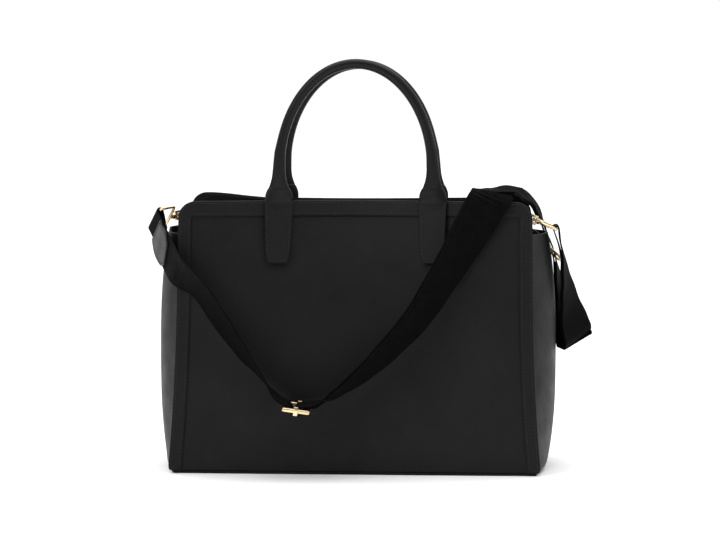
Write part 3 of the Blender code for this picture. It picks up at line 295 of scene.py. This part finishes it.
def sway(point):
    """The soft walls' slow wandering, the same for everything that lies on them.

    The base corners are tucked in a little, and the rear wall stands taller at its left end.
    """
    low = 1.0 - min(point.z / BASE_TUCK_HEIGHT, 1.0)
    tuck = BASE_TUCK * low ** 2 * eased(abs(point.x), BASE_TUCK_FROM, BASE_TUCK_TO)
    x = point.x - math.copysign(tuck, point.x)
    side = 1.0 if point.y > 0.0 else -1.0
    y = point.y - side * tuck * 0.5
    z = point.z
    if side > 0.0:
        z += REAR_RISE * eased(point.x, REAR_RISE_FROM, REAR_RISE_TO) * eased(point.z, 0.150, 0.279)
    if abs(point.y) > WALL_Y:
        height = eased(point.z, 0.004, 0.05) * eased(point.z, 0.285, 0.25)
        edge = eased(abs(point.x), 0.176, 0.140)
        seed = Vector((point.x * 13.0, side * 5.0, point.z * 9.0))
        y += side * PANEL_SWAY * height * edge * (noise.noise(seed) + 0.4 * noise.noise(seed * 2.7))
    return Vector((x, y, z))


def solid_outline(node, join=True):
    """A bmesh of a CAD node with its triangles joined into quads where they lie together."""
    shape = bmesh.new()
    shape.from_mesh(frame["nodes"][node].data)
    bmesh.ops.remove_doubles(shape, verts=shape.verts, dist=1e-6)
    if join:
        bmesh.ops.join_triangles(shape, faces=shape.faces, angle_face_threshold=math.radians(28.0),
                                 angle_shape_threshold=math.radians(50.0))
    return shape


def object_from(name, shape, finish):
    """A smooth-shaded object with one material, made from a bmesh."""
    mesh = bpy.data.meshes.new(name)
    shape.to_mesh(mesh)
    shape.free()
    for face in mesh.polygons:
        face.use_smooth = True
    mesh.materials.clear()
    mesh.materials.append(finish)
    made = bpy.data.objects.new(name, mesh)
    bpy.context.scene.collection.objects.link(made)
    return made


def apply_modifiers(made):
    """Keep the shape that the modifiers give, and the modifiers no longer."""
    depsgraph = bpy.context.evaluated_depsgraph_get()
    final = bpy.data.meshes.new_from_object(made.evaluated_get(depsgraph))
    made.modifiers.clear()
    made.data = final


def claim(made, node):
    """The piece takes over from a CAD node: its body and its place."""
    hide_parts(node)
    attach(made, BODY_OF[node])


def dressed(node, edge=SOFT_EDGE, levels=2, swaying=False, finish=None, limit=40.0):
    """A soft or metal piece with rounded edges and an even surface, in place of its CAD node."""
    finish = finish or FINISH_OF_SLOT[SLOT_OF[node]]
    made = object_from(node + "_skin", solid_outline(node), finish)
    rounding = made.modifiers.new("rounding", "BEVEL")
    rounding.width = edge
    rounding.segments = 2
    rounding.limit_method = "ANGLE"
    rounding.angle_limit = math.radians(limit)
    if levels:
        smoothing = made.modifiers.new("smoothing", "SUBSURF")
        smoothing.levels = levels
        smoothing.render_levels = levels
    apply_modifiers(made)
    if swaying:
        for vertex in made.data.vertices:
            vertex.co = sway(vertex.co)
    return made


# ---- stitching -----------------------------------------------------------------------------
# along one stitch: share of its length, share of the thread's radius, height above the leather in radii
STITCH_PROFILE = ((0.0, 0.35, -0.9), (0.18, 0.9, 0.2), (0.5, 1.0, 0.75), (0.82, 0.9, 0.2),
                  (1.0, 0.35, -0.9))
STITCH_LIFT = 0.0001
THREAD_SIDES = 6
SHORTEST_ROW = 0.012
ROW_MARGIN = 0.004             # left free at the two ends of a row together


def outline_chains(node, facing, corner=50.0):
    """The outer edges of a sheet's face that looks the given way, as chains of (point, inward, normal).

    A sheet's wide face meets its thickness at a sharp edge. Each chain runs along such edges.
    """
    shape = solid_outline(node, join=False)
    links = {}
    for edge in shape.edges:
        if len(edge.link_faces) != 2 or math.degrees(edge.calc_face_angle(0.0)) < corner:
            continue
        for face in edge.link_faces:
            a, b = edge.verts
            third = [v for v in face.verts if v not in (a, b)][0]
            along = (b.co - a.co).normalized()
            inward = third.co - a.co
            inward -= along * inward.dot(along)
            if inward.length < THIN_FACE or face.normal.dot(facing(face.calc_center_median())) < 0.25:
                continue
            entry = (inward.normalized(), face.normal.copy())
            links.setdefault(a.index, []).append((b.index, entry))
            links.setdefault(b.index, []).append((a.index, entry))
    places = {v.index: v.co.copy() for v in shape.verts}
    shape.free()
    used = set()
    chains = []
    ends = [i for i, near in links.items() if len(near) != 2]
    for start in sorted(ends) + sorted(links):
        for second, _ in links[start]:
            if (start, second) in used:
                continue
            chain = [start]
            here, ahead = start, second
            while (here, ahead) not in used:
                used.add((here, ahead))
                used.add((ahead, here))
                chain.append(ahead)
                onward = [n for n, _ in links[ahead] if n != here]
                if len(links[ahead]) != 2 or not onward:
                    break
                here, ahead = ahead, onward[0]
            chains.append(chain)
    result = []
    for chain in chains:
        row = []
        for index in chain:
            inwards = [entry[0] for _, entry in links[index]]
            normals = [entry[1] for _, entry in links[index]]
            total = Vector((0.0, 0.0, 0.0))
            for inward in inwards:
                total += inward
            mean = total.normalized()
            reach = 1.0 / max(0.45, mean.dot(inwards[0]))
            normal = Vector((0.0, 0.0, 0.0))
            for item in normals:
                normal += item
            row.append((places[index], mean * reach, normal.normalized()))
        result.append(row)
    return result


def thread_row(points, normals, shape):
    """Add a row of separate stitches along a line of points to a bmesh."""
    distance = 0.0
    marks = [0.0]
    for a, b in zip(points, points[1:]):
        distance += (b - a).length
        marks.append(distance)
    if distance < SHORTEST_ROW:
        return

    def at(place):
        place = max(0.0, min(distance, place))
        for k in range(1, len(marks)):
            if place <= marks[k]:
                break
        share = (place - marks[k - 1]) / max(marks[k] - marks[k - 1], 1e-9)
        return points[k - 1].lerp(points[k], share), normals[k - 1].lerp(normals[k], share).normalized()

    count = int((distance - ROW_MARGIN) / STITCH_PITCH)
    offset = 0.5 * (distance - count * STITCH_PITCH)
    for k in range(count):
        begin = offset + k * STITCH_PITCH
        a, up = at(begin)
        b, _ = at(begin + STITCH_LENGTH)
        along = b - a
        if along.length < 0.4 * STITCH_LENGTH:
            continue
        along.normalize()
        side = along.cross(up).normalized()
        up = side.cross(along)
        rings = []
        for share, thick, high in STITCH_PROFILE:
            centre = a.lerp(b, share) + up * (STITCH_LIFT + THREAD_RADIUS * (high - 0.3))
            ring = []
            for s in range(THREAD_SIDES):
                angle = math.tau * s / THREAD_SIDES
                swing = side * math.cos(angle) + up * math.sin(angle)
                ring.append(shape.verts.new(centre + swing * (THREAD_RADIUS * thick)))
            rings.append(ring)
        for one, two in zip(rings, rings[1:]):
            for s in range(THREAD_SIDES):
                t = (s + 1) % THREAD_SIDES
                shape.faces.new((one[s], two[s], two[t], one[t]))
        shape.faces.new(rings[0])
        shape.faces.new(rings[-1][::-1])


def stitched(node, facing, top=math.inf, swaying=False):
    """Rows of stitches a little inside the edges of a sheet's outer face, and below a height."""
    shape = bmesh.new()
    for chain in outline_chains(node, facing):
        row = [(place + inward * STITCH_INSET, normal) for place, inward, normal in chain]
        if swaying:
            row = [(sway(place), normal) for place, normal in row]
        runs = [[]]
        for place, normal in row:
            if place.z < top:
                runs[-1].append((place, normal))
            else:
                runs.append([])
        for run in runs:
            if len(run) > 1:
                thread_row([p for p, _ in run], [n for _, n in run], shape)
    bmesh.ops.recalc_face_normals(shape, faces=shape.faces)
    made = object_from(node + "_stitching", shape, THREAD)
    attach(made, BODY_OF[node])


def towards_front(place):
    return Vector((0.0, -1.0, 0.0))


def towards_rear(place):
    return Vector((0.0, 1.0, 0.0))


def outwards(place):
    """Away from the bag's middle."""
    return Vector((place.x, place.y, 0.0)).normalized()


# ---- handle roots --------------------------------------------------------------------------
# height, turn from the bag's width in degrees, half width, half depth, distance from the middle plane
ROOT_SECTIONS = ((0.268, 15.0, 0.0132, 0.0012, 0.0421), (0.273, 15.0, 0.0140, 0.0015, 0.04075),
                 (0.277, 15.0, 0.0146, 0.0019, 0.0397), (0.280, 13.0, 0.0148, 0.0028, 0.0393),
                 (0.283, 9.0, 0.0146, 0.0035, 0.0390), (0.287, 4.0, 0.0139, 0.0039, HANDLE_Y),
                 (0.291, 0.0, 0.0120, 0.0043, HANDLE_Y), (0.2945, 0.0, 0.0101, 0.0041, HANDLE_Y))


def make_handle_root(word, side, hand_word, hand):
    """The leather that runs on from a tab into the foot of the handle, in one fixed shape that turns and
    bends as it rises.
    """
    shape = bmesh.new()
    rings = []
    for z, turn, half_wide, half_deep, away in ROOT_SECTIONS:
        angle = math.radians(turn)
        across = Vector((hand * math.cos(angle), side * math.sin(angle), 0.0))
        outward = Vector((-hand * math.sin(angle), side * math.cos(angle), 0.0))
        centre = Vector((hand * HANDLE_X, side * away, z))
        ring = []
        for s in range(ROOT_SIDES):
            swing = math.tau * s / ROOT_SIDES
            a = math.copysign(abs(math.cos(swing)) ** ROOT_SQUARENESS, math.cos(swing))
            b = math.copysign(abs(math.sin(swing)) ** ROOT_SQUARENESS, math.sin(swing))
            ring.append(shape.verts.new(centre + across * (a * half_wide) + outward * (b * half_deep)))
        rings.append(ring)
    for one, two in zip(rings, rings[1:]):
        for s in range(ROOT_SIDES):
            t = (s + 1) % ROOT_SIDES
            shape.faces.new((one[s], one[t], two[t], two[s]))
    shape.faces.new(rings[0])
    shape.faces.new(rings[-1])
    bmesh.ops.recalc_face_normals(shape, faces=shape.faces)
    root = object_from(f"{word}_{hand_word}_handle_root", shape, LEATHER_SMOOTH)
    smoothing = root.modifiers.new("smoothing", "SUBSURF")
    smoothing.levels = 2
    smoothing.render_levels = 2
    apply_modifiers(root)
    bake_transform(root)


# ---- webbing -------------------------------------------------------------------------------
def lay_strap_map(made, direction):
    """Give webbing a map of its own: length along it and width across it, in metres."""
    mesh = made.data
    layer = mesh.uv_layers.new(name="strap")
    for face in mesh.polygons:
        normal = face.normal
        across = normal.cross(direction(face.center))
        if across.length < 1e-4:
            across = normal.orthogonal()
        across.normalize()
        along = across.cross(normal)
        for loop in face.loop_indices:
            place = mesh.vertices[mesh.loops[loop].vertex_index].co
            layer.data[loop].uv = (place.dot(along), place.dot(across))


def front_course_direction(place):
    """The front run goes down to the slider and then up to the rim."""
    if place.x < -0.055:
        return Vector((0.62, -0.06, -0.78)).normalized()
    return Vector((0.66, 0.20, 0.72)).normalized()


def shoulder_direction(place):
    """The shoulder run goes back along the rim and then hangs."""
    if place.z > 0.262:
        return Vector((0.5, 0.8, -0.33)).normalized()
    return Vector((0.1, -0.1, -0.99)).normalized()


def make_crest_fold():
    """The short stretch of webbing over the rim, where the front run bends into the shoulder run."""
    shape = bmesh.new()
    rings = []
    for k in range(CREST_STEPS + 1):
        share = k / CREST_STEPS
        reach = CREST_REACH * (2.0 * share - 1.0)
        along = CREST_RISING.lerp(CREST_LEVEL, share).normalized()
        out = Vector((0.0, -along.z, along.y))
        centre = CREST + along * reach + out * CREST_OFFSET
        top = []
        under = []
        for c in range(CREST_COLUMNS + 1):
            place = centre + Vector((STRAP_WIDTH * (c / CREST_COLUMNS - 0.5), 0.0, 0.0))
            top.append(shape.verts.new(place + out * (0.5 * STRAP_THICKNESS)))
            under.append(shape.verts.new(place - out * (0.5 * STRAP_THICKNESS)))
        rings.append(top + under[::-1])
    around = len(rings[0])
    for one, two in zip(rings, rings[1:]):
        for s in range(around):
            t = (s + 1) % around
            shape.faces.new((one[s], one[t], two[t], two[s]))
    for ring in (rings[0], rings[-1]):
        for c in range(CREST_COLUMNS):
            shape.faces.new((ring[c], ring[c + 1], ring[around - 2 - c], ring[around - 1 - c]))
    bmesh.ops.recalc_face_normals(shape, faces=shape.faces)
    fold = object_from("strap_crest_fold", shape, WEBBING)
    lay_strap_map(fold, shoulder_direction)
    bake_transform(fold)
    return fold


# ---- the pieces ----------------------------------------------------------------------------
for word, facing, side in (("front", towards_front, -1.0), ("rear", towards_rear, 1.0)):
    for node in (word + "_panel", word + "_border_trim", word + "_facing"):
        claim(dressed(node, swaying=True), node)
    stitched(word + "_border_trim", facing, swaying=True)
    for hand_word, hand in (("left", -1.0), ("right", 1.0)):
        tab = f"{word}_{hand_word}_handle_tab"
        make_handle_root(word, side, hand_word, hand)
        claim(dressed(tab, edge=0.0009, swaying=True), tab)
        stitched(tab, facing, top=TAB_STITCH_TOP, swaying=True)
    cover = word + "_handle_cover"
    claim(dressed(cover, finish=LEATHER_SMOOTH, edge=0.0007), cover)
    core = word + "_handle_core"
    claim(dressed(core, edge=0.0005), core)

for node in ("left_gusset", "right_gusset"):
    claim(dressed(node, swaying=True), node)
claim(dressed("base_panel", levels=1, swaying=True), "base_panel")
claim(dressed("base_board", levels=1), "base_board")
claim(dressed("lining", swaying=True), "lining")
for node in ("left_bottle_pocket", "right_bottle_pocket", "zip_tape"):
    claim(dressed(node), node)
for node in ("left_ring_tab", "right_ring_tab"):
    claim(dressed(node, edge=0.0004), node)

claim(dressed("strap_end_patch", edge=0.0005, finish=LEATHER_PATCH), "strap_end_patch")
stitched("strap_end_patch", outwards)

METAL_NODES = [node for node, slot in SLOT_OF.items() if slot == "gold"]
METAL_NODES += ["zip_slider", "zip_pull", "zip_teeth"]
ROUND_WIRE = ("left_strap_loop", "right_strap_loop", "left_d_ring", "right_d_ring", "strap_keeper")
for node in METAL_NODES:
    if node in ROUND_WIRE:
        claim(dressed(node, edge=0.0001, limit=70.0), node)
    else:
        claim(dressed(node, edge=METAL_EDGE, levels=0, limit=35.0), node)

# node, its direction, flat length, what it lies on
STRAP_RUNS = (("strap_webbing_front", front_course_direction, 0.665, "front_panel_skin"),
              ("strap_webbing_return", front_course_direction, 0.33, "strap_webbing_front_skin"),
              ("strap_webbing_shoulder", shoulder_direction, 0.82, "rear_panel_skin"))
for node, direction, length, bearer in STRAP_RUNS:
    run = dressed(node, edge=0.0003)
    lay_strap_map(run, direction)
    claim(run, node)
crest_fold = make_crest_fold()


# ---- the stage -----------------------------------------------------------------------------
def make_floor():
    """A plain pale floor, wide enough for every view."""
    shape = bmesh.new()
    corners = [shape.verts.new((x, y, 0.0)) for x, y in
               ((-FLOOR_HALF, -FLOOR_HALF), (FLOOR_HALF, -FLOOR_HALF), (FLOOR_HALF, FLOOR_HALF),
                (-FLOOR_HALF, FLOOR_HALF))]
    shape.faces.new(corners)
    made, tree, shader = material("floor_pale", (0.97, 0.97, 0.97), 0.8, Specular_IOR_Level=0.1)
    tree.links.new(ramp(tree, noise_texture(tree, 3.0, 2.0), [(0.3, grey(0.965)), (0.7, grey(0.975))]),
                   shader.inputs["Base Color"])
    object_from("floor", shape, made)


def make_surroundings():
    """Even white light from behind the bag, dimmer from the front, so that black leather stays black."""
    world = bpy.data.worlds.new("studio")
    world.use_nodes = True
    tree = world.node_tree
    place = tree.nodes.new("ShaderNodeTexCoord")
    parts = tree.nodes.new("ShaderNodeSeparateXYZ")
    tree.links.new(place.outputs["Generated"], parts.inputs["Vector"])
    share = tree.nodes.new("ShaderNodeMapRange")
    share.inputs["From Min"].default_value = -0.1
    share.inputs["From Max"].default_value = 0.6
    tree.links.new(parts.outputs["Y"], share.inputs["Value"])
    shade = ramp(tree, share.outputs["Result"], [(0.0, grey(WORLD_FRONT)), (1.0, grey(1.0))])
    background = tree.nodes["Background"]
    tree.links.new(shade, background.inputs["Color"])
    background.inputs["Strength"].default_value = 1.05
    bpy.context.scene.world = world


def make_light(name, place, target, size, power):
    """A soft rectangular lamp turned towards a point."""
    lamp = bpy.data.lights.new(name, "AREA")
    lamp.shape = "RECTANGLE"
    lamp.size, lamp.size_y = size
    lamp.energy = power
    made = bpy.data.objects.new(name, lamp)
    made.location = place
    made.rotation_euler = (Vector(target) - Vector(place)).to_track_quat("-Z", "Y").to_euler()
    bpy.context.scene.collection.objects.link(made)


def make_overhead_light():
    """A very soft light from straight above, which keeps the whole floor even."""
    lamp = bpy.data.lights.new("overhead", "SUN")
    lamp.energy = 2.5
    lamp.angle = math.radians(70.0)
    made = bpy.data.objects.new("overhead", lamp)
    made.location = (0.0, 0.0, 3.0)
    bpy.context.scene.collection.objects.link(made)


def make_camera():
    """A long lens, a little to the right of the front and a little above it."""
    azimuth = math.radians(CAMERA_AZIMUTH)
    elevation = math.radians(CAMERA_ELEVATION)
    away = Vector((math.sin(azimuth) * math.cos(elevation), -math.cos(azimuth) * math.cos(elevation),
                   math.sin(elevation)))
    lens = bpy.data.cameras.new("camera")
    lens.lens = CAMERA_LENS
    lens.sensor_width = 36.0
    lens.shift_x, lens.shift_y = CAMERA_SHIFT
    lens.dof.use_dof = False
    camera = bpy.data.objects.new("camera", lens)
    camera.location = CAMERA_TARGET + away * CAMERA_DISTANCE
    camera.rotation_euler = (-away).to_track_quat("-Z", "Y").to_euler()
    bpy.context.scene.collection.objects.link(camera)
    bpy.context.scene.camera = camera


make_floor()
make_light("key", place=(-1.7, -1.5, 1.7), target=(0.0, 0.0, 0.2), size=(1.3, 1.3), power=18.0)
make_light("fill", place=(2.2, -0.7, 1.1), target=(0.0, 0.0, 0.2), size=(1.3, 1.3), power=9.0)
make_light("top", place=(0.0, -0.3, 2.6), target=(0.0, -0.3, 0.0), size=(3.2, 2.6), power=14.0)
make_overhead_light()
make_camera()
make_surroundings()
bpy.context.scene.view_settings.view_transform = "Standard"
